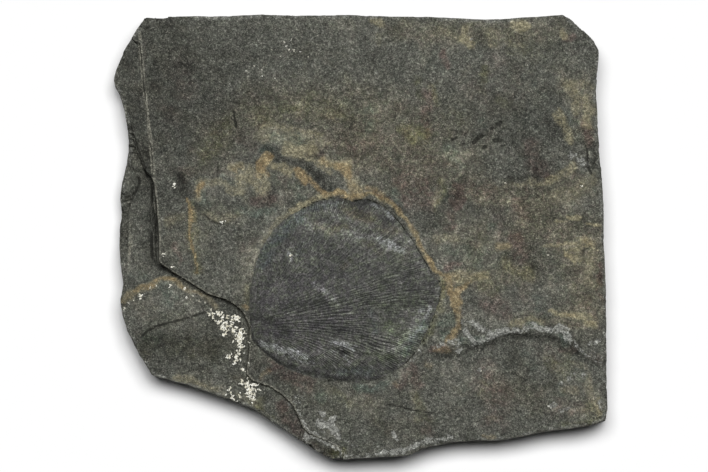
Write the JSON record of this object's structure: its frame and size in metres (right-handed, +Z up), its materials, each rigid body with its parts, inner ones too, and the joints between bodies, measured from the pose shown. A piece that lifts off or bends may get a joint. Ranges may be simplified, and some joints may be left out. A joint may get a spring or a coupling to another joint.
{
  "type": "fossil seed-fern leaf plate",
  "caption": "Broken slab of dark shale lying flat, with one round fan-veined leaf pressed into its upper face.",
  "frame": {"origin": "centre of the slab's bounding box at its underside", "axes": "+Z up out of the face with the leaf; +X along the slab's long side, away from the leaf's base; +Y towards the straight upper side"},
  "size_m": [0.12, 0.108, 0.0144],
  "materials": {
    "shale": "matt, finely grained, with rust stains and mineral flecks"
  },
  "bodies": {
    "root": {"shale_slab": "shale"}
  },
  "joints": []
}
